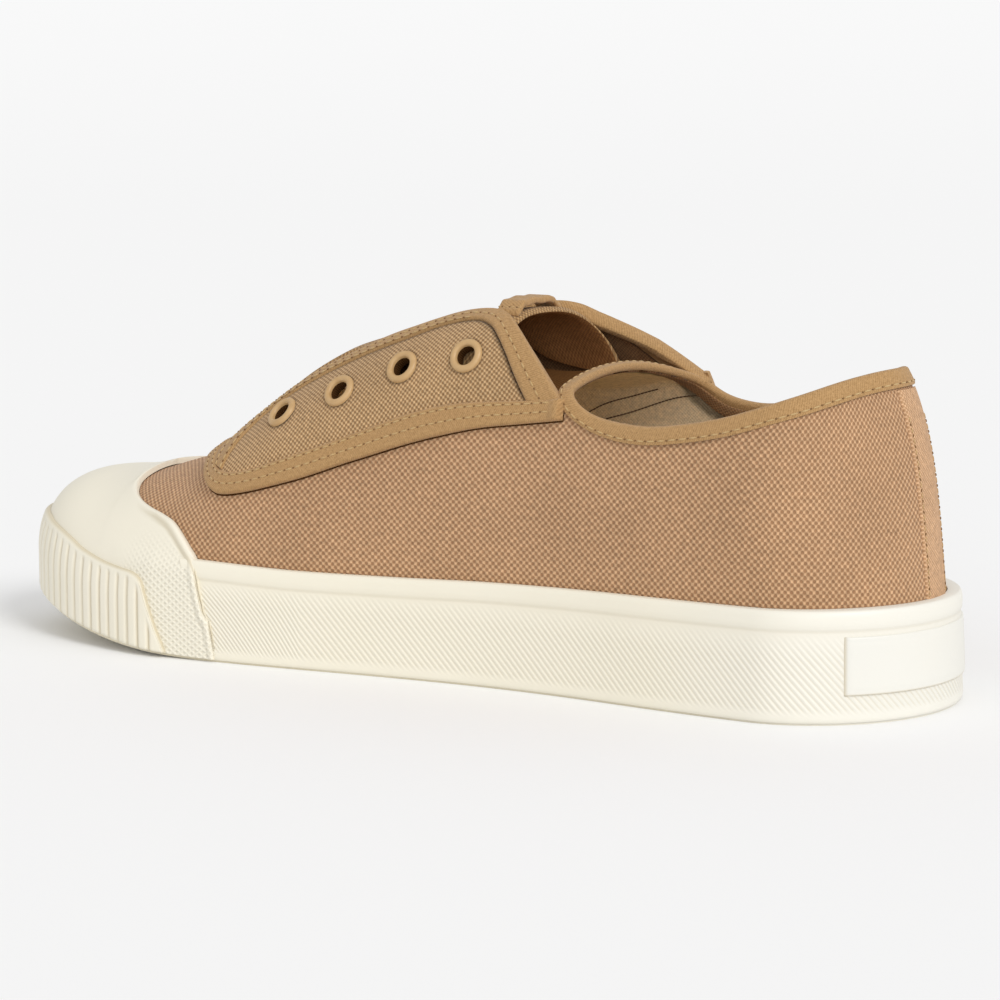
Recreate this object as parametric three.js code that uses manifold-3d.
// A low canvas sneaker with a decorative eyelet throat, slipped on: the right shoe.
// Millimetres. +X points to the toe, +Y to the inner (medial) side, +Z up.
// Inside this file u is the distance from the heel tip towards the toe.

import * as THREE from 'three';
import { mergeVertices } from 'three/addons/utils/BufferGeometryUtils.js';
import Module from 'manifold-3d';

const wasm = await Module();
wasm.setup();

// Driving dimensions of the shoe
const LENGTH = 269.6;
const HEEL_ARC = 36;
const TOE_ARC = 61;
const HEEL_CENTRE = 34;
const TOE_CENTRE = 245;
const TOE_SPRING = 13.5;
const SPRING_START = 190;
const SPRING_RUN = 80;
const FIT = 0.3;
// A size that clears the whole shoe, for the planes and prisms that cut it
const BEYOND = 130;

// Sole and rubber
const FLANGE = 1.2;
const CORE_TOP = 10;
const FEATHER = 12;
const FLANGE_INSET = 0.9;
const LAST_INSET = 3.5;
const FOXING_LOW = 1.5;
const FACE_FOOT = 0.4;
const FACE_HEAD = 1.5;
const LIP = 4.9;
const LIP_INSET = 1.1;
const INSOLE_THICK = 3.6;
const RIM_WIDTH = 9;
const TREAD_DEPTH = 0.9;
const ARCH_FROM = 88;
const ARCH_TO = 146;
const GROOVE_WIDTH = 3;
const TREAD_GROOVES = [34, 47, 60, 73, 161, 174, 187];

// Canvas, tapes and rubber sheet
const WALL = 1.8;
const TAPE = 1;
const PANEL = 1.1;
const BINDING = 1.3;
const FACING_TAPE = 1.4;
const TONGUE = 1.9;
const COLLAR_BAND = 3.4;
const HEEL_BAND = 3.7;
const CORNER_BAND = 5;
const FOLD = 0.8;
const RIM = 1.5;

// Turns rows of numbers into records with the column names as keys.
function table(columns, rows) {
  return rows.map((row) => Object.fromEntries(columns.map((name, k) => [name, row[k]])));
}

// Sections of the last. axis, medial and lateral give the plan outline at the floor, crown the height
// of the instep line, side and top how square the section is, lean how far its wall leans in.
const LAST = table(
  ['u', 'axis', 'medial', 'lateral', 'crown', 'side', 'top', 'lean'],
  [
    [0, -3, 38, 37, 97, 4.7, 2, 0.24],
    [5, -2.5, 38, 37, 97, 4.6, 2, 0.31],
    [10.5, -2, 38, 37, 97, 4.6, 2, 0.32],
    [20, -1.2, 38, 37, 97, 4.6, 2, 0.24],
    [36, 0, 38.1, 37, 97, 4.6, 2, 0.1],
    [60, 0, 37.6, 38, 97, 4.3, 2.2, 0.05],
    [85, 0, 36, 39, 97, 4.1, 2.5, 0.02],
    [105, 0, 35.7, 40.2, 97, 4, 2.6, 0],
    [121, 0, 36.4, 41.2, 96.6, 4, 2.7, 0],
    [144, 0, 38.8, 43.3, 91, 3.4, 2.5, 0],
    [160, 0, 41, 45.1, 84.2, 3.2, 2.5, 0],
    [176, 0, 43.1, 46.5, 76, 3.1, 2.4, 0],
    [192, 0, 44.8, 47.2, 64.6, 2.9, 2.4, 0],
    [201, 0.1, 45.6, 47, 57.6, 2.7, 2.3, 0],
    [210, 0.4, 46.2, 46.4, 52, 2.5, 2.2, 0],
    [222, 1, 46, 45.5, 48.4, 2.4, 2.2, 0],
    [240, 3, 45, 45, 43.4, 2.4, 2.3, 0],
    [LENGTH, 7.5, 44.5, 44.5, 41.5, 2.4, 2.4, 0],
  ],
);

// Where the vamp dips below the instep line, under the free end of the tongue.
const DIP = table(
  ['u', 'top'],
  [
    [0, 120],
    [60, 110],
    [72, 85],
    [80, 79.8],
    [92, 80.2],
    [98, 79.3],
    [106, 78],
    [115, 77.6],
    [125, 78.2],
    [135, 79.3],
    [145, 80.2],
    [152, 80.4],
    [160, 79.9],
    [166, 79.2],
    [172, 79.8],
    [185, 90],
    [LENGTH, 120],
  ],
);
const DIP_FALL = 4.5;
const DIP_HALF = 28;
const DIP_BLEND = 3;

// Upper edge of the collar, seen from the side, on the medial and on the lateral wall.
const TOPLINE = table(
  ['medial', 'lateral', 'z'],
  [
    [-24, -24, 82.6],
    [8, 8, 82.6],
    [14.4, 14.4, 82.9],
    [21, 21, 81.3],
    [30, 30, 77.6],
    [38.5, 38, 74.6],
    [48, 46.5, 71.6],
    [58.5, 55.5, 69.4],
    [69.5, 65, 68.1],
    [80, 73, 68.9],
    [87, 78.5, 70.8],
    [92.5, 82.5, 74.2],
    [95.5, 85, 78],
    [97, 87, 82],
    [98.5, 89, 90],
    [100, 91, 104],
  ],
);

// Outer and inner edge of the facing tape. q runs up the wall at 45 degrees: q = (z - |y|) / root 2.
const TAPE_OUTER = table(
  ['u', 'q'],
  [
    [92.6, 28.1],
    [104, 26.7],
    [115.2, 25.1],
    [126.6, 22.6],
    [138, 19.6],
    [152.3, 15],
    [166.9, 9.9],
    [178.6, 6.7],
    [185.2, 5.4],
    [190.1, 4.9],
    [194.1, 5.4],
    [198, 8.2],
    [200.8, 11.5],
    [204, 16.7],
    [207.6, 22.6],
    [210.5, 29.5],
    [212, 36.5],
    [212, 42],
  ],
);
const TAPE_INNER = table(
  ['u', 'q'],
  [
    [92.6, 32.8],
    [102.5, 31.8],
    [116, 30.5],
    [128.1, 28.7],
    [139.1, 25.8],
    [147.9, 22.7],
    [157.1, 19.3],
    [169.3, 15.1],
    [182.2, 11.1],
    [189.3, 10.4],
    [193.4, 11.4],
    [196.6, 13.9],
    [199.4, 18.4],
    [202, 24.4],
    [203.8, 31],
    [204.4, 37],
    [204.4, 42],
  ],
);

// Outline of one facing with its binding: up its back edge, over the corner, along the throat.
const FACING_EDGE = table(
  ['u', 'q'],
  [
    [94.4, 32.4],
    [98, 36.1],
    [103.8, 42.1],
    [108.6, 47],
    [112.2, 50.6],
    [115.8, 53.6],
    [121, 55.1],
    [129, 54.9],
    [137, 53],
    [144, 51],
    [152, 48.9],
    [160, 46.2],
    [168, 43.4],
    [176, 40.8],
    [184, 37.4],
    [190.5, 33],
    [195.6, 28.6],
    [199.2, 24.8],
    [200.6, 21],
    [199.4, 17],
  ],
);
// Inner line of that binding, where the facing's canvas starts
const FACING_INNER = table(
  ['u', 'q'],
  [
    [105, 31],
    [110.3, 37.3],
    [113.8, 42.1],
    [117.3, 46.4],
    [120.1, 49.4],
    [124.2, 51.2],
    [133.9, 50],
    [146.2, 46.4],
    [159.1, 42.3],
    [171.8, 37.2],
    [180, 33.2],
    [186.4, 28.6],
    [190, 23.6],
    [191.8, 19],
    [192.6, 14],
  ],
);

// The lateral facing reaches this much further back at its foot, and less towards its top corner.
const LATERAL_REACH = 12;
const REACH_TOP = 50;
const REACH_RUN = 20;
const LATERAL_DROP = 3;
const DROP_FROM_Q = 40;
const DROP_RISE = 12;
const DROP_FROM_U = 150;
const DROP_RUN = 32;
const THROAT_FRONT = 212;
const THROAT_BACK = 92;

// Eyelets in the facing, from the toe end back.
const EYELETS = table(
  ['u', 'q'],
  [
    [177.8, 26.7],
    [159.7, 31.6],
    [141.5, 37.9],
    [122.3, 40.7],
  ],
);
const EYELET_OUTER = 4.6;
const EYELET_HOLE = 2.65;
const EYELET_BARREL = 3.15;
const EYELET_FLANGE = 0.85;
const EYELET_DEPTH = 1.2;
const EYELET_RAISE = 0.35;

// The tongue: half width and how far its inner face stands off the instep form.
const TONGUE_PLAN = table(
  ['u', 'half', 'lift'],
  [
    [60, 28, -4.4],
    [112, 28, -4.4],
    [122, 28, -4.2],
    [130, 25, -3.9],
    [138, 20.5, -3.2],
    [148, 15, -2.1],
    [152, 14.6, -1.9],
    [160, 14.6, -0.7],
    [168, 14.6, 0.3],
    [204, 14.6, 0.3],
  ],
);
const TONGUE_DROOP = 0.0039;
const TONGUE_DROOP_POWER = 2.49;
const TONGUE_FREE_FROM = 152;
const TONGUE_FREE_RUN = 36;
const TONGUE_END = 114;
const TONGUE_SKEW = 0.16;
const TONGUE_HALF = 28;
// Lowest point of the tongue's drooping sides
const SIDE_LOW = 76.5;

// The strap across it, and its section: distance from the middle, height over the tongue.
const STRAP_WIDTH = 7;
const STRAP_THICK = 1.2;
const STRAP_SECTION = table(
  ['y', 'lift'],
  [
    [-11.5, 0.5],
    [-9.5, 0.6],
    [-8, 1.6],
    [0, 1.3],
    [8, 1.6],
    [9.5, 0.6],
    [11.5, 0.5],
  ],
);

// Height of the foxing's upper edge over the floor line
const FOXING_TOP = table(
  ['u', 'z'],
  [
    [0, 27.9],
    [40, 27.8],
    [80, 27.5],
    [110, 27],
    [140, 26.2],
    [170, 26],
    [200, 26.8],
    [LENGTH, 26.8],
  ],
);

// Toe cap and bumper, measured above the floor line of the sole.
const CAP_EDGE = table(
  ['u', 'q'],
  [
    [189, -32],
    [191.2, -24],
    [193.8, -18],
    [196.6, -10.6],
    [198.8, -8.2],
    [205.4, -2.5],
    [211, 0.2],
    [216.8, 2.4],
    [222.5, 5.4],
    [226.8, 9.2],
    [230, 15],
    [231, 22],
    [231.5, 29],
    [231.5, 36],
  ],
);
const BUMPER_EDGE = table(
  ['u', 'z'],
  [
    [203.8, -6],
    [204.6, 1],
    [207.6, 8],
    [211, 17],
    [212.7, 20.6],
    [216, 22.4],
    [222, 23.2],
    [228.4, 24.2],
    [237.3, 26.4],
    [242.4, 28.3],
    [247.8, 29.9],
    [254.9, 31.5],
    [262, 33],
    [280, 35],
  ],
);
const RIB_PITCH = 3.7;
const RIB_DEPTH = 0.5;
const BUMPER_THICK = 1;
const CAP_FOOT = 2.3;
const CAP_THICK = 2.1;
const CAP_THINNING = 0.4;

// Heel label on the foxing
const LABEL_LOW = 7.5;
const LABEL_HIGH = 21.5;
const LABEL_REACH = 15;
const LABEL_THICK = 0.5;

// Reads one column of a table at u along a smooth curve through its rows.
function along(rows, column, u) {
  const last = rows.length - 1;
  const clamped = Math.min(Math.max(u, rows[0].u), rows[last].u);
  let k = 0;
  while (k < last - 1 && clamped > rows[k + 1].u) k += 1;
  const slope = (i) => {
    const before = rows[Math.max(i - 1, 0)];
    const after = rows[Math.min(i + 1, last)];
    return (after[column] - before[column]) / (after.u - before.u);
  };
  const span = rows[k + 1].u - rows[k].u;
  const t = (clamped - rows[k].u) / span;
  const start = rows[k][column];
  const end = rows[k + 1][column];
  return (2 * t ** 3 - 3 * t ** 2 + 1) * start
    + (t ** 3 - 2 * t ** 2 + t) * span * slope(k)
    + (3 * t ** 2 - 2 * t ** 3) * end
    + (t ** 3 - t ** 2) * span * slope(k + 1);
}

function clamp01(value) {
  return Math.min(Math.max(value, 0), 1);
}

// Height of the sole's underside: flat to the ball, then rising to the toe in a parabola.
function floorLine(u) {
  return TOE_SPRING * clamp01((u - SPRING_START) / SPRING_RUN) ** 2;
}

// Share of the full width that is left at u, where the heel and the toe are rounded in plan.
function roundEnds(u) {
  if (u < HEEL_ARC) return Math.sqrt(1 - ((HEEL_ARC - u) / HEEL_ARC) ** 2);
  const toe = u - (LENGTH - TOE_ARC);
  return toe > 0 ? Math.sqrt(Math.max(1 - (toe / TOE_ARC) ** 2, 0)) : 1;
}

// Plan outline of the sole, moved outwards by grow. side is 1 medial and -1 lateral.
function outline(u, side, grow) {
  const width = side > 0 ? 'medial' : 'lateral';
  const edge = (v) => along(LAST, 'axis', v) + side * along(LAST, width, v) * roundEnds(v);
  if (u <= 0) return { x: -grow, y: edge(0) };
  if (u >= LENGTH) return { x: LENGTH + grow, y: edge(LENGTH) };
  const step = 0.05;
  const from = Math.max(u - step, 0);
  const to = Math.min(u + step, LENGTH);
  const run = to - from;
  const rise = edge(to) - edge(from);
  const size = Math.hypot(run, rise);
  return { x: u - (side * rise * grow) / size, y: edge(u) + (side * run * grow) / size };
}

function blendMin(a, b, width) {
  const near = Math.max(width - Math.abs(a - b), 0) / width;
  return Math.min(a, b) - (near * near * width) / 4;
}

// One point of the last, offset outwards. t runs from the feather edge (0) to the crown (1);
// below 0 the wall goes straight down to the height low above the floor line.
function lastPoint(u, side, t, offset, low, shape) {
  const foot = outline(u, side, offset - LAST_INSET);
  const centre = Math.min(Math.max(u, HEEL_CENTRE), TOE_CENTRE);
  const floor = floorLine(u);
  if (t < 0) return new THREE.Vector3(foot.x, foot.y, floor + low);
  const turn = (t * Math.PI) / 2;
  const rise = t === 1 ? 1 : Math.sin(turn) ** (2 / along(LAST, 'side', u));
  const spread = t === 1 ? 0 : Math.cos(turn) ** (2 / along(LAST, 'top', u));
  const reach = spread * (1 - along(LAST, 'lean', u) * rise);
  const axis = along(LAST, 'axis', centre);
  const base = floor + FEATHER;
  const y = axis + (foot.y - axis) * reach;
  const x = centre + (foot.x - centre) * reach;
  const z = base + (along(LAST, 'crown', centre) + offset - base) * rise;
  return new THREE.Vector3(x, y, shape(u, y, z, offset));
}

const SHAPES = {
  // The form that the facings lie on.
  instep: (u, y, z) => z,
  // The vamp itself, which dips under the free end of the tongue.
  vamp: (u, y, z, offset) => {
    const dip = along(DIP, 'top', u) - DIP_FALL * (y / DIP_HALF) ** 2 + offset;
    return blendMin(z, dip, DIP_BLEND);
  },
  // The tongue's free end, which droops at its sides.
  tongue: (u, y, z, offset) => {
    const free = clamp01((TONGUE_FREE_FROM - u) / TONGUE_FREE_RUN);
    const arch = along(LAST, 'crown', u) + offset - free * TONGUE_DROOP * Math.abs(y) ** TONGUE_DROOP_POWER;
    return blendMin(z, arch + 0.5, 1.5);
  },
};

// Stations along one side: even angles round the heel and the toe, even steps between.
function stations(heelSteps, sideSteps, toeSteps) {
  const list = [];
  const toeStart = LENGTH - TOE_ARC;
  for (let k = 0; k < heelSteps; k += 1) {
    list.push(HEEL_ARC * (1 - Math.cos((k / heelSteps) * (Math.PI / 2))));
  }
  for (let k = 0; k < sideSteps; k += 1) {
    list.push(HEEL_ARC + ((toeStart - HEEL_ARC) * k) / sideSteps);
  }
  for (let k = 0; k <= toeSteps; k += 1) {
    list.push(toeStart + TOE_ARC * Math.sin((k / toeSteps) * (Math.PI / 2)));
  }
  return list;
}

const STATIONS = stations(7, 15, 9);
const RISE_STEPS = [-1, 0, 0.05, 0.16, 0.3, 0.46, 0.64, 0.82, 1];
const BUMPER_STEPS = [-1, 0, 0.08, 0.25, 0.5, 1];

// Makes a solid of loose triangles that share their corners.
function solid(points, faces) {
  const geometry = new THREE.BufferGeometry();
  const corners = points.flatMap((p) => p.toArray());
  geometry.setAttribute('position', new THREE.Float32BufferAttribute(corners, 3));
  geometry.setIndex(faces.flat());
  return manifoldOf(geometry);
}

function manifoldOf(source) {
  const bare = source.clone();
  bare.deleteAttribute('normal');
  bare.deleteAttribute('uv');
  const merged = mergeVertices(bare, 1e-4);
  const index = merged.getIndex().array;
  const position = merged.getAttribute('position');
  const corner = (k) => new THREE.Vector3().fromBufferAttribute(position, k);
  const kept = [];
  let volume = 0;
  for (let k = 0; k < index.length; k += 3) {
    const [a, b, c] = [index[k], index[k + 1], index[k + 2]];
    if (a !== b && b !== c && c !== a) {
      kept.push(a, b, c);
      volume += corner(a).dot(corner(b).cross(corner(c)));
    }
  }
  if (volume < 0) kept.reverse();
  const mesh = new wasm.Mesh({
    numProp: 3,
    vertProperties: new Float32Array(position.array),
    triVerts: new Uint32Array(kept),
  });
  return new wasm.Manifold(mesh);
}

// Faces of a closed ring of rows: each row is a list of corner numbers, joined to the next row.
function ringFaces(rowCount, columnCount, corner) {
  const faces = [];
  for (let i = 0; i < rowCount; i += 1) {
    const next = (i + 1) % rowCount;
    for (let j = 0; j < columnCount - 1; j += 1) {
      faces.push([corner(i, j), corner(next, j), corner(next, j + 1)]);
      faces.push([corner(i, j), corner(next, j + 1), corner(i, j + 1)]);
    }
  }
  return faces;
}

// Faces of the flat ladder between the medial and the lateral corners of a ring.
function ladderFaces(count, corner, up) {
  const faces = [];
  const ring = 2 * count - 2;
  for (let k = 0; k < count - 1; k += 1) {
    const quad = [k, k + 1, (ring - k - 1) % ring, (ring - k) % ring].map(corner);
    const order = up ? [...quad].reverse() : quad;
    faces.push([order[0], order[1], order[2]]);
    faces.push([order[0], order[2], order[3]]);
  }
  return faces;
}

// The ring of stations round the shoe: up the medial side, back down the lateral side.
function ringOf(list) {
  const medial = list.map((u) => ({ u, side: 1 }));
  const lateral = list.slice(1, -1).reverse().map((u) => ({ u, side: -1 }));
  return [...medial, ...lateral];
}

// The whole last as a closed solid, offset outwards by a number or by a function of u and t.
function lastForm(offset, low, shape = SHAPES.instep, list = STATIONS, rises = RISE_STEPS) {
  const ring = ringOf(list);
  const columns = rises.length;
  const depth = typeof offset === 'function' ? offset : () => offset;
  const points = ring.flatMap(({ u, side }) => rises.map(
    (t) => lastPoint(u, side, t, depth(u, t, side), low, shape),
  ));
  const corner = (i, j) => i * columns + j;
  const faces = ringFaces(ring.length, columns, (i, j) => corner(i, j));
  const under = ladderFaces(list.length, (i) => corner(i, 0), false);
  return solid(points, [...faces, ...under.map((face) => face.reverse())]);
}

// A sheet over the last between two offsets, open underneath.
function sheet(inner, outer, low, shape = SHAPES.instep) {
  const opened = low - 4;
  return lastForm(outer, low, shape).subtract(lastForm(inner, opened, shape));
}

// A flat slab that follows the sole outline and its toe spring.
function slab(grow, low, high) {
  const ring = ringOf(STATIONS);
  const points = ring.flatMap(({ u, side }) => {
    const { x, y } = outline(u, side, grow);
    return [low, high].map((z) => new THREE.Vector3(x, y, floorLine(u) + z));
  });
  const corner = (i, j) => i * 2 + j;
  const bottom = ladderFaces(STATIONS.length, (i) => corner(i, 0), false);
  const top = ladderFaces(STATIONS.length, (i) => corner(i, 1), false);
  return solid(points, [
    ...ringFaces(ring.length, 2, corner),
    ...bottom.map((face) => face.reverse()),
    ...top,
  ]);
}

// A strip round the sole with a closed profile of corners (grow, z); z is a number or a function of u.
function band(profile, ring, closed) {
  const count = profile.length;
  const height = (z, u) => floorLine(u) + (typeof z === 'function' ? z(u) : z);
  const points = ring.flatMap(({ u, side }) => profile.map(({ grow, z }) => {
    const { x, y } = outline(u, side, grow);
    return new THREE.Vector3(x, y, height(z, u));
  }));
  const corner = (i, j) => i * count + (j % count);
  const rows = closed ? ring.length : ring.length - 1;
  const faces = [];
  for (let i = 0; i < rows; i += 1) {
    const next = (i + 1) % ring.length;
    for (let j = 0; j < count; j += 1) {
      faces.push([corner(i, j), corner(next, j), corner(next, j + 1)]);
      faces.push([corner(i, j), corner(next, j + 1), corner(i, j + 1)]);
    }
  }
  if (!closed) {
    for (let j = 1; j < count - 1; j += 1) {
      faces.push([corner(0, 0), corner(0, j), corner(0, j + 1)]);
      faces.push([corner(rows, 0), corner(rows, j + 1), corner(rows, j)]);
    }
  }
  return solid(points, faces);
}

// A smooth line through the rows of a table, as points in its own plane.
function curve(rows, across, upwards, count) {
  const points = rows.map((row) => new THREE.Vector2(row[across], row[upwards]));
  return new THREE.SplineCurve(points).getPoints(count);
}

// The same line moved to its left by distance, a number or a function of the point.
function shifted(line, distance) {
  const size = typeof distance === 'function' ? distance : () => distance;
  return line.map((point, k) => {
    const before = line[Math.max(k - 1, 0)];
    const after = line[Math.min(k + 1, line.length - 1)];
    const heading = after.clone().sub(before).normalize();
    return new THREE.Vector2(point.x - heading.y * size(point), point.y + heading.x * size(point));
  });
}

// A prism between two copies of one outline, near and far, which may differ in shape.
function prism(nearOutline, farOutline, place, near, far) {
  const flat = nearOutline.map((p) => p.clone());
  const caps = THREE.ShapeUtils.triangulateShape(flat, []);
  const count = nearOutline.length;
  const points = [
    ...nearOutline.map((p) => place(p, near)),
    ...farOutline.map((p) => place(p, far)),
  ];
  const faces = [];
  caps.forEach(([a, b, c]) => {
    faces.push([a, b, c]);
    faces.push([c + count, b + count, a + count]);
  });
  for (let k = 0; k < count; k += 1) {
    const next = (k + 1) % count;
    faces.push([next, k, k + count]);
    faces.push([next, k + count, next + count]);
  }
  // The caps decide which way round the sides go.
  const turned = THREE.ShapeUtils.area(flat) < 0;
  const sides = turned ? faces.map((face, k) => (k < 2 * caps.length ? face : [...face].reverse())) : faces;
  return solid(points, sides);
}

const HALF = Math.SQRT1_2;
const placeSide = (p, y) => new THREE.Vector3(p.x, y, p.y);
const placePlan = (p, z) => new THREE.Vector3(p.x, p.y, z);
const placeMedial = (p, depth) => new THREE.Vector3(p.x, (depth - p.y) * HALF, (depth + p.y) * HALF);
const placeLateral = (p, depth) => new THREE.Vector3(p.x, (p.y - depth) * HALF, (depth + p.y) * HALF);

// One wall's share of a region that is drawn in the slanted plane, cut at the middle of the shoe.
function slantRegion(line, side) {
  const near = side > 0 ? line : line.map((p) => lateralSpot(p.x, p.y));
  const place = side > 0 ? placeMedial : placeLateral;
  return prism(near, near, place, -10, BEYOND).intersect(halfSpace(side));
}

// Where a point of the medial facing lies on the lateral one.
function lateralSpot(u, q) {
  const back = clamp01((THROAT_FRONT - u) / (THROAT_FRONT - THROAT_BACK));
  return new THREE.Vector2(
    u - LATERAL_REACH * back * clamp01((REACH_TOP - q) / REACH_RUN),
    q - LATERAL_DROP * clamp01((q - DROP_FROM_Q) / DROP_RISE) * clamp01((DROP_FROM_U - u) / DROP_RUN),
  );
}

function halfSpace(side) {
  const box = new THREE.BoxGeometry(400, 80, 200);
  box.translate(LENGTH / 2, side * 40, 60);
  return manifoldOf(box);
}

const CURVE_STEPS = 24;
const toplineMedial = curve(TOPLINE, 'medial', 'z', CURVE_STEPS);
const toplineLateral = curve(TOPLINE, 'lateral', 'z', CURVE_STEPS);
const TOPLINE_SPREAD = 35;

// Everything above the collar's edge, with the edge raised by lift.
function aboveCollar(lift) {
  const closeOff = (line) => {
    const raised = shifted(line, lift);
    const end = raised[raised.length - 1];
    return [...raised, new THREE.Vector2(end.x, BEYOND), new THREE.Vector2(TOPLINE[0].medial, BEYOND)];
  };
  const near = closeOff(toplineMedial);
  const far = closeOff(toplineLateral);
  const middle = near.map((p, k) => p.clone().add(far[k]).multiplyScalar(0.5));
  const reach = 80;
  const scale = reach / TOPLINE_SPREAD;
  const extend = (line) => line.map((p, k) => p.clone().sub(middle[k]).multiplyScalar(scale).add(middle[k]));
  return prism(extend(near), extend(far), placeSide, reach, -reach);
}

// The canvas wall
function makeUpper() {
  const wall = sheet(-WALL, 0, CORE_TOP + FIT, SHAPES.vamp);
  return wall.subtract(aboveCollar(0));
}

// Tape folded over the edge of the collar
function makeCollarBinding(facings) {
  // The padded rim across the front of the mouth
  const rim = (u, t) => RIM * clamp01((u - 70) / 16) * clamp01((112 - u) / 10) * clamp01((t - 0.45) / 0.3);
  const heelward = (x) => (HEEL_BAND - COLLAR_BAND) * clamp01((62 - x) / 26);
  const forward = (x) => (CORNER_BAND - COLLAR_BAND) * clamp01((x - 76) / 12);
  const width = (point) => -COLLAR_BAND - heelward(point.x) - forward(point.x);
  const outside = sheet((u, t) => -WALL - FOLD - rim(u, t), TAPE, CORE_TOP, SHAPES.vamp);
  const folded = outside.subtract(aboveCollar(TAPE)).intersect(aboveCollar(width));
  const edge = sheet(-WALL - FIT, FIT, CORE_TOP, SHAPES.vamp).subtract(aboveCollar(FIT));
  return folded.subtract(edge).subtract(facings);
}

const tapeOuter = curve(TAPE_OUTER, 'u', 'q', 22);
const tapeInner = curve(TAPE_INNER, 'u', 'q', 20);
const facingEdge = curve(FACING_EDGE, 'u', 'q', 24);
const facingInner = curve(FACING_INNER, 'u', 'q', 18);

function tapeRegion(side, grow) {
  const outer = shifted(tapeOuter, -grow);
  const inner = shifted(tapeInner, grow).reverse();
  outer[0].x -= grow;
  inner[inner.length - 1].x -= grow;
  return slantRegion([...outer, ...inner], side);
}

// What lies inside an edge of the facing, down to the sole.
function facingRegion(line, side, grow) {
  const edge = shifted(line, grow);
  const end = edge[edge.length - 1];
  return slantRegion([...edge, new THREE.Vector2(end.x, -20), new THREE.Vector2(edge[0].x, -20)], side);
}

function makeFacingTape() {
  const layer = sheet(FIT, FIT + FACING_TAPE, CORE_TOP);
  return layer.intersect(tapeRegion(1, 0).add(tapeRegion(-1, 0)));
}

function makeFacingBinding(side) {
  const layer = sheet(FIT, FIT + BINDING, CORE_TOP);
  return layer.intersect(facingRegion(facingEdge, side, 0))
    .subtract(facingRegion(facingInner, side, 0))
    .subtract(tapeRegion(side, FIT))
    .subtract(belowTape(side));
}

// What lies outside the facing tape, towards the sole.
function belowTape(side) {
  const low = tapeOuter.map((p) => p.clone());
  const start = low[0];
  const end = low[low.length - 1];
  const spare = 60;
  const region = [
    new THREE.Vector2(start.x - spare, -spare),
    new THREE.Vector2(start.x - spare, start.y),
    ...low,
    new THREE.Vector2(end.x + spare, end.y),
    new THREE.Vector2(end.x + spare, -spare),
  ];
  return slantRegion(region.reverse(), side);
}

function makeFacingPanel(side) {
  const layer = sheet(FIT, FIT + PANEL, CORE_TOP);
  let panel = layer.intersect(facingRegion(facingInner, side, -FIT))
    .subtract(tapeRegion(side, FIT))
    .subtract(belowTape(side));
  EYELETS.forEach((spot) => {
    const hole = new THREE.CylinderGeometry(EYELET_BARREL + FIT, EYELET_BARREL + FIT, 12, 14);
    hole.applyMatrix4(eyeletFrame(spot, side, 0));
    panel = panel.subtract(manifoldOf(hole));
  });
  return panel;
}

// Finds the point of the instep form that shows at (u, q), by halving the interval of t.
function onForm(u, q, side, offset) {
  let low = 0;
  let high = 1;
  let point = null;
  for (let k = 0; k < 30; k += 1) {
    const t = (low + high) / 2;
    point = lastPoint(u, side, t, offset, CORE_TOP, SHAPES.instep);
    if ((point.z - Math.abs(point.y)) * HALF < q) low = t;
    else high = t;
  }
  return point;
}

// Frame of an eyelet: its Y axis stands on the facing, lifted by raise.
function eyeletFrame(spot, side, raise) {
  const { x: u, y: q } = side > 0 ? new THREE.Vector2(spot.u, spot.q) : lateralSpot(spot.u, spot.q);
  const here = onForm(u, q, side, FIT + PANEL);
  const ahead = onForm(u + 2, q, side, FIT + PANEL).sub(here);
  const above = onForm(u, q + 2, side, FIT + PANEL).sub(here);
  const normal = ahead.clone().cross(above).normalize().multiplyScalar(side > 0 ? -1 : 1);
  if (normal.z < 0) normal.negate();
  const xAxis = ahead.normalize();
  const zAxis = xAxis.clone().cross(normal).normalize();
  const frame = new THREE.Matrix4().makeBasis(xAxis, normal, zAxis);
  return frame.setPosition(here.add(normal.multiplyScalar(raise)));
}

// A covered ring with a short barrel that goes down into the facing.
function makeEyelet(spot, side) {
  const profile = [
    [EYELET_HOLE, -EYELET_DEPTH],
    [EYELET_BARREL, -EYELET_DEPTH],
    [EYELET_BARREL, 0],
    [EYELET_OUTER, 0],
    [EYELET_OUTER - 0.4, EYELET_FLANGE],
    [EYELET_HOLE + 0.3, EYELET_FLANGE],
    [EYELET_HOLE, -EYELET_DEPTH],
  ].map(([r, y]) => new THREE.Vector2(r, y));
  const ring = new THREE.LatheGeometry(profile, 12);
  ring.applyMatrix4(eyeletFrame(spot, side, FIT + EYELET_RAISE));
  return manifoldOf(ring);
}

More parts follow.
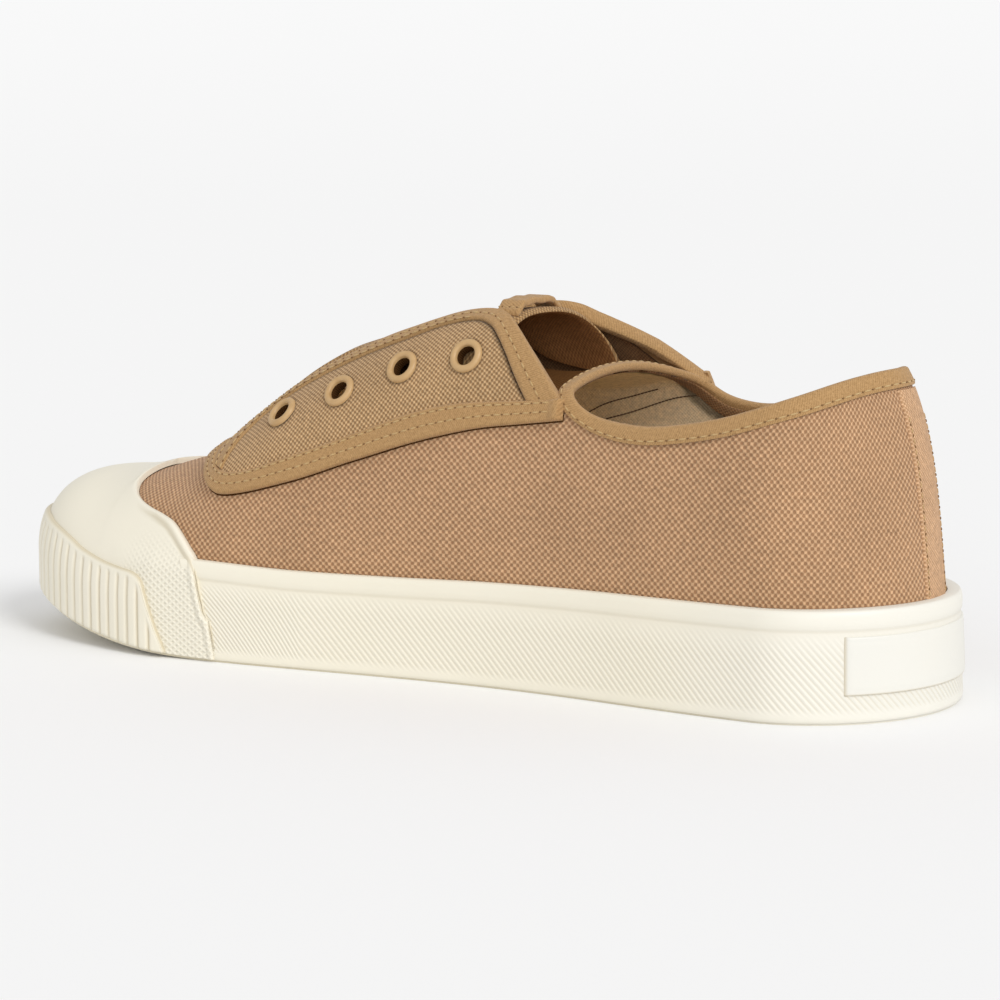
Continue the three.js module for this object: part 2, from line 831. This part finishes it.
// The tongue is cut to its free end, then to its width, and its drooping sides are trimmed below.
function makeTongue() {
  const inner = (u) => along(TONGUE_PLAN, 'lift', u);
  const outer = (u) => inner(u) + TONGUE;
  const layer = sheet(inner, outer, CORE_TOP, SHAPES.tongue);
  const half = TONGUE_HALF + 2;
  const front = 230;
  const low = 30;
  const high = 120;
  const steps = 12;
  const end = [];
  for (let k = 0; k <= steps; k += 1) {
    const y = half * ((2 * k) / steps - 1);
    end.push(new THREE.Vector2(TONGUE_END + TONGUE_SKEW * y - (y / half) ** 2 * 3, y));
  }
  const length = [...end, new THREE.Vector2(front, half), new THREE.Vector2(front, -half)].reverse();
  const edge = TONGUE_PLAN.filter((row) => row.u > TONGUE_END + 5);
  const back = TONGUE_END - 24;
  const width = [
    new THREE.Vector2(back, -TONGUE_HALF),
    ...edge.map((row) => new THREE.Vector2(row.u, -row.half)),
    ...[...edge].reverse().map((row) => new THREE.Vector2(row.u, row.half)),
    new THREE.Vector2(back, TONGUE_HALF),
  ];
  const under = new THREE.BoxGeometry(64, 80, SIDE_LOW);
  under.translate(110, 0, SIDE_LOW / 2);
  return layer.intersect(prism(length, length, placePlan, low, high))
    .intersect(prism(width, width, placePlan, low, high))
    .subtract(manifoldOf(under))
    .subtract(tapeRegion(1, FIT).add(tapeRegion(-1, FIT)));
}

// A flat strap across the tongue near its free end
function makeTongueLoop() {
  const start = TONGUE_END + 2;
  const middle = start + STRAP_WIDTH / 2;
  const crown = along(LAST, 'crown', middle) + along(TONGUE_PLAN, 'lift', middle) + TONGUE;
  const droop = (y) => TONGUE_DROOP * Math.abs(y) ** TONGUE_DROOP_POWER;
  const low = STRAP_SECTION.map(({ y, lift }) => new THREE.Vector2(y, crown - droop(y) + lift));
  const high = [...low].reverse().map((p) => new THREE.Vector2(p.x, p.y + STRAP_THICK));
  const section = new THREE.Shape([...low, ...high]);
  const strap = new THREE.ExtrudeGeometry(section, { depth: STRAP_WIDTH, bevelEnabled: false });
  const frame = new THREE.Matrix4().makeBasis(
    new THREE.Vector3(0, 1, 0),
    new THREE.Vector3(0, 0, 1),
    new THREE.Vector3(1, 0, 0),
  );
  strap.applyMatrix4(frame);
  strap.translate(start, 0, 0);
  return manifoldOf(strap);
}

// Rubber parts: the cap thins as it rises, and the bumper lies over it.
const capOuter = (u, t) => (t < 0 ? CAP_FOOT : CAP_THICK - CAP_THINNING * clamp01(t / 0.2));
const bumperInner = (u, t) => capOuter(u, t) + FIT;

function capRegion(grow) {
  const line = shifted(curve(CAP_EDGE, 'u', 'q', 18), grow);
  const start = line[0];
  const end = line[line.length - 1];
  const front = LENGTH + 60;
  const closed = [...line, new THREE.Vector2(front, end.y), new THREE.Vector2(front, start.y)];
  const half = (side, place) => prism(closed, closed, place, -60, BEYOND).intersect(halfSpace(side));
  return half(1, placeMedial).add(half(-1, placeLateral));
}

function makeToeCap() {
  return sheet(FIT, capOuter, FOXING_LOW).intersect(capRegion(0));
}

// Stations for the bumper: a crest and a groove to each rib, at equal distances round the toe.
function ribStations() {
  const from = 196;
  const fine = 600;
  const straight = 0.2;
  const arcStart = LENGTH - TOE_ARC;
  const points = [];
  for (let k = 0; k <= fine; k += 1) {
    const share = k / fine;
    const turn = ((share - straight) / (1 - straight)) * (Math.PI / 2);
    const u = share < straight ? from + ((arcStart - from) * share) / straight
      : arcStart + TOE_ARC * Math.sin(turn);
    const { x, y } = outline(u, 1, 0);
    points.push({ u, x, y });
  }
  const lengths = [0];
  for (let k = 1; k <= fine; k += 1) {
    lengths.push(lengths[k - 1] + Math.hypot(points[k].x - points[k - 1].x, points[k].y - points[k - 1].y));
  }
  const total = lengths[fine];
  const ribs = Math.round(total / RIB_PITCH);
  const list = [];
  for (let rib = 0; rib < ribs; rib += 1) {
    [0.5, 1].forEach((share) => {
      const goal = ((rib + share) * total) / ribs;
      let k = lengths.findIndex((value) => value >= goal - 1e-6);
      if (k < 0) k = fine;
      list.push({ u: points[k].u, groove: share === 1 && rib < ribs - 1 });
    });
  }
  return list;
}

function makeToeBumper() {
  const ribs = ribStations();
  const grooves = new Set(ribs.filter((rib) => rib.groove).map((rib) => rib.u));
  const behind = [0, 20, 60, 120, 180];
  const list = [...behind, ...ribs.map((rib) => rib.u)];
  const outer = (u, t) => bumperInner(u, t) + BUMPER_THICK - (grooves.has(u) ? RIB_DEPTH : 0);
  const line = curve(BUMPER_EDGE, 'u', 'z', 20);
  const front = LENGTH + 30;
  const half = 70;
  const region = [...line, new THREE.Vector2(front, 20), new THREE.Vector2(front, BUMPER_EDGE[0].z)];
  return lastForm(outer, FOXING_LOW + FIT, SHAPES.instep, list, BUMPER_STEPS)
    .subtract(lastForm(bumperInner, FOXING_LOW - 4))
    .intersect(prism(region, region, placeSide, half, -half));
}

function makeFoxing() {
  const top = (below) => (u) => along(FOXING_TOP, 'z', u) - below;
  const profile = [
    { grow: -LAST_INSET + FIT, z: FOXING_LOW },
    { grow: -FACE_FOOT, z: FOXING_LOW },
    { grow: -FACE_HEAD, z: top(LIP) },
    { grow: -LIP_INSET, z: top(LIP - 0.6) },
    { grow: -FACE_HEAD, z: top(0.7) },
    { grow: -FACE_HEAD - 0.4, z: top(0) },
    { grow: -LAST_INSET + FIT, z: top(0) },
  ];
  return band(profile, ringOf(STATIONS), true).subtract(capRegion(FIT));
}

function makeHeelLabel() {
  const half = [...STATIONS.filter((u) => u < LABEL_REACH), LABEL_REACH];
  const lateral = [...half].reverse().map((u) => ({ u, side: -1 }));
  const medial = half.slice(1).map((u) => ({ u, side: 1 }));
  const rise = along(FOXING_TOP, 'z', 0) - LIP - FOXING_LOW;
  const face = (z) => -FACE_FOOT - ((FACE_HEAD - FACE_FOOT) * (z - FOXING_LOW)) / rise;
  const profile = [
    { grow: face(LABEL_LOW) + FIT, z: LABEL_LOW },
    { grow: face(LABEL_LOW) + FIT + LABEL_THICK, z: LABEL_LOW + 0.3 },
    { grow: face(LABEL_HIGH) + FIT + LABEL_THICK, z: LABEL_HIGH - 0.3 },
    { grow: face(LABEL_HIGH) + FIT, z: LABEL_HIGH },
  ];
  return band(profile, [...lateral, ...medial], false);
}

function makeOutsole() {
  let sole = slab(-FLANGE_INSET, 0, FLANGE).add(slab(-LAST_INSET, FLANGE / 2, CORE_TOP));
  const tread = slab(-RIM_WIDTH, -1, TREAD_DEPTH);
  const hollow = new THREE.BoxGeometry(ARCH_TO - ARCH_FROM, 200, 8);
  hollow.translate((ARCH_FROM + ARCH_TO) / 2, 0, 0);
  sole = sole.subtract(tread.intersect(manifoldOf(hollow)));
  TREAD_GROOVES.forEach((u) => {
    const groove = new THREE.BoxGeometry(GROOVE_WIDTH, 200, 30);
    groove.translate(u, 0, 0);
    sole = sole.subtract(tread.intersect(manifoldOf(groove)));
  });
  return sole;
}

function makeInsole() {
  const inset = LAST_INSET + WALL + 2 * FIT;
  return slab(-inset, CORE_TOP + FIT, CORE_TOP + FIT + INSOLE_THICK);
}

// Colours and finish
const canvas = { color: 0xb98f6c, roughness: 0.95, metalness: 0 };
const tape = { color: 0xb59464, roughness: 0.9, metalness: 0 };
const rubber = { color: 0xefe9d8, roughness: 0.55, metalness: 0 };
const lining = { color: 0xa99378, roughness: 1, metalness: 0 };

const shoe = new THREE.Group();

function addPart(name, body, look) {
  const mesh = body.getMesh();
  const geometry = new THREE.BufferGeometry();
  geometry.setAttribute('position', new THREE.Float32BufferAttribute(mesh.vertProperties, 3));
  geometry.setIndex(new THREE.Uint32BufferAttribute(mesh.triVerts, 1));
  const part = new THREE.Mesh(geometry, new THREE.MeshStandardMaterial(look));
  part.name = name;
  shoe.add(part);
}

// The room that both facings and their tape take, cut out of the collar's binding.
const facingRoom = (side) => facingRegion(facingEdge, side, FIT)
  .subtract(belowTape(side))
  .add(tapeRegion(side, FIT));
const facingCover = sheet(-0.05, 4, CORE_TOP).intersect(facingRoom(1).add(facingRoom(-1)));

addPart('outsole', makeOutsole(), rubber);
addPart('foxing', makeFoxing(), rubber);
addPart('toe_cap', makeToeCap(), rubber);
addPart('toe_bumper', makeToeBumper(), rubber);
addPart('heel_label', makeHeelLabel(), rubber);
addPart('insole', makeInsole(), lining);
addPart('upper', makeUpper(), canvas);
addPart('collar_binding', makeCollarBinding(facingCover), tape);
addPart('facing_tape', makeFacingTape(), tape);
[['medial', 1], ['lateral', -1]].forEach(([name, side]) => {
  addPart(`eyestay_${name}`, makeFacingPanel(side), canvas);
  addPart(`eyestay_binding_${name}`, makeFacingBinding(side), tape);
  EYELETS.forEach((spot, k) => addPart(`eyelet_${name}_${k + 1}`, makeEyelet(spot, side), tape));
});
addPart('tongue', makeTongue(), canvas);
addPart('tongue_loop', makeTongueLoop(), tape);

// The origin lies at the middle of the footprint, on the floor.
const box = new THREE.Box3().setFromObject(shoe);
shoe.position.set(-(box.min.x + box.max.x) / 2, -(box.min.y + box.max.y) / 2, -box.min.z);

export default shoe;
